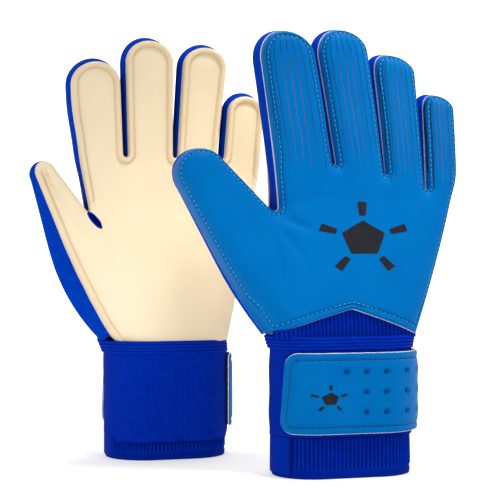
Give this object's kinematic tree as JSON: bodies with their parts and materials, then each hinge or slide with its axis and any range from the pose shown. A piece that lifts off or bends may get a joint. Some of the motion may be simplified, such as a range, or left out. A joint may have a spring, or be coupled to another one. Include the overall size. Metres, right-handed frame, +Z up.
{
  "type": "goalkeeper gloves",
  "caption": "Pair of goalkeeper gloves standing on their cuffs: foam palms, knitted finger walls, ribbed wrist cuffs and wrist straps that open.",
  "frame": {"origin": "on the floor under the middle of the pair", "axes": "+Z up along the fingers, +X across the hands, +Y towards the back of the left glove; the left glove's palm and the right glove's back face -Y"},
  "size_m": [0.2572, 0.1734, 0.284],
  "materials": {
    "palm_latex": "matte smooth latex foam, cream",
    "back_latex": "satin smooth latex face, sky blue",
    "rib_knit": "ribbed knit, royal blue",
    "gusset_mesh": "fine knit, royal blue",
    "lining": "brushed knit, dark",
    "wrap_knit": "fine rib elastic knit, royal blue",
    "band_knit": "stitched elastic band, royal blue",
    "loop": "looped pile, royal blue",
    "strap_face": "satin moulded latex face, sky blue",
    "strap_backing": "woven backing, black",
    "hook": "moulded hooks, black"
  },
  "bodies": {
    "left_hand": {"left_palm_panel": "palm_latex", "left_back_panel": "back_latex", "left_wrist_rib_insert": "rib_knit", "left_thumb_side_wall": "gusset_mesh", "left_little_side_wall": "gusset_mesh", "left_thumb_web": "gusset_mesh", "left_cuff_tube": "rib_knit", "left_cuff_lining": "lining", "left_wrist_wrap": "wrap_knit", "left_cuff_top_band": "band_knit", "left_loop_patch": "loop", "left_strap_anchor": "strap_face"},
    "left_thumb": {"left_thumb_palm": "palm_latex", "left_thumb_back": "back_latex", "left_thumb_gusset": "gusset_mesh"},
    "left_index": {"left_index_palm": "palm_latex", "left_index_back": "back_latex", "left_index_gusset": "gusset_mesh"},
    "left_middle": {"left_middle_palm": "palm_latex", "left_middle_back": "back_latex", "left_middle_gusset": "gusset_mesh"},
    "left_ring": {"left_ring_palm": "palm_latex", "left_ring_back": "back_latex", "left_ring_gusset": "gusset_mesh"},
    "left_little": {"left_little_palm": "palm_latex", "left_little_back": "back_latex", "left_little_gusset": "gusset_mesh"},
    "left_strap": {"left_strap_backing": "strap_backing", "left_strap_face": "strap_face", "left_hook_patch": "hook"},
    "right_hand": {"right_palm_panel": "palm_latex", "right_back_panel": "back_latex", "right_wrist_rib_insert": "rib_knit", "right_thumb_side_wall": "gusset_mesh", "right_little_side_wall": "gusset_mesh", "right_thumb_web": "gusset_mesh", "right_cuff_tube": "rib_knit", "right_cuff_lining": "lining", "right_wrist_wrap": "wrap_knit", "right_cuff_top_band": "band_knit", "right_loop_patch": "loop", "right_strap_anchor": "strap_face"},
    "right_thumb": {"right_thumb_palm": "palm_latex", "right_thumb_back": "back_latex", "right_thumb_gusset": "gusset_mesh"},
    "right_index": {"right_index_palm": "palm_latex", "right_index_back": "back_latex", "right_index_gusset": "gusset_mesh"},
    "right_middle": {"right_middle_palm": "palm_latex", "right_middle_back": "back_latex", "right_middle_gusset": "gusset_mesh"},
    "right_ring": {"right_ring_palm": "palm_latex", "right_ring_back": "back_latex", "right_ring_gusset": "gusset_mesh"},
    "right_little": {"right_little_palm": "palm_latex", "right_little_back": "back_latex", "right_little_gusset": "gusset_mesh"},
    "right_strap": {"right_strap_backing": "strap_backing", "right_strap_face": "strap_face", "right_hook_patch": "hook"}
  },
  "joints": [
    {"name": "left_thumb_bend", "type": "hinge", "parent": "left_hand", "child": "left_thumb", "pos_m": [-0.10218, 0.0395, 0.1545], "axis": [0.8988, 0, 0.4384], "range_deg": [0, 50], "stiffness_Nm_per_rad": 0.05},
    {"name": "left_index_bend", "type": "hinge", "parent": "left_hand", "child": "left_index", "pos_m": [-0.08388, 0.0395, 0.201], "axis": [0.9986, 0, 0.0523], "range_deg": [0, 65], "stiffness_Nm_per_rad": 0.05},
    {"name": "left_middle_bend", "type": "hinge", "parent": "left_hand", "child": "left_middle", "pos_m": [-0.04848, 0.0395, 0.202], "axis": [0.9997, 0, 0.0262], "range_deg": [0, 65], "stiffness_Nm_per_rad": 0.05},
    {"name": "left_ring_bend", "type": "hinge", "parent": "left_hand", "child": "left_ring", "pos_m": [-0.01638, 0.0395, 0.201], "axis": [0.9976, 0, -0.0698], "range_deg": [0, 65], "stiffness_Nm_per_rad": 0.05},
    {"name": "left_little_bend", "type": "hinge", "parent": "left_hand", "child": "left_little", "pos_m": [0.01482, 0.0395, 0.192], "axis": [0.9976, 0, -0.0698], "range_deg": [0, 65], "stiffness_Nm_per_rad": 0.05},
    {"name": "left_strap_open", "type": "hinge", "parent": "left_hand", "child": "left_strap", "pos_m": [0.01102, 0.053, 0.0445], "axis": [0, 0, -1], "range_deg": [0, 110]},
    {"name": "right_glove_lift", "type": "slide", "parent": "left_hand", "child": "right_hand", "axis": [0, 0, 1], "range_m": [0, 0.3]},
    {"name": "right_thumb_bend", "type": "hinge", "parent": "right_hand", "child": "right_thumb", "pos_m": [-0.01098, -0.0415, 0.151], "axis": [-0.7986, 0, -0.6018], "range_deg": [0, 50], "stiffness_Nm_per_rad": 0.05},
    {"name": "right_index_bend", "type": "hinge", "parent": "right_hand", "child": "right_index", "pos_m": [0.02482, -0.0415, 0.196], "axis": [-0.9903, 0, -0.1392], "range_deg": [0, 65], "stiffness_Nm_per_rad": 0.05},
    {"name": "right_middle_bend", "type": "hinge", "parent": "right_hand", "child": "right_middle", "pos_m": [0.06132, -0.0415, 0.197], "axis": [-0.9903, 0, -0.1392], "range_deg": [0, 65], "stiffness_Nm_per_rad": 0.05},
    {"name": "right_ring_bend", "type": "hinge", "parent": "right_hand", "child": "right_ring", "pos_m": [0.09182, -0.0415, 0.19], "axis": [-0.9962, 0, -0.0872], "range_deg": [0, 65], "stiffness_Nm_per_rad": 0.05},
    {"name": "right_little_bend", "type": "hinge", "parent": "right_hand", "child": "right_little", "pos_m": [0.11732, -0.0415, 0.181], "axis": [-0.9994, 0, -0.0349], "range_deg": [0, 65], "stiffness_Nm_per_rad": 0.05},
    {"name": "right_strap_open", "type": "hinge", "parent": "right_hand", "child": "right_strap", "pos_m": [0.10297, -0.055, 0.0525], "axis": [0, 0, 1], "range_deg": [0, 110]}
  ]
}
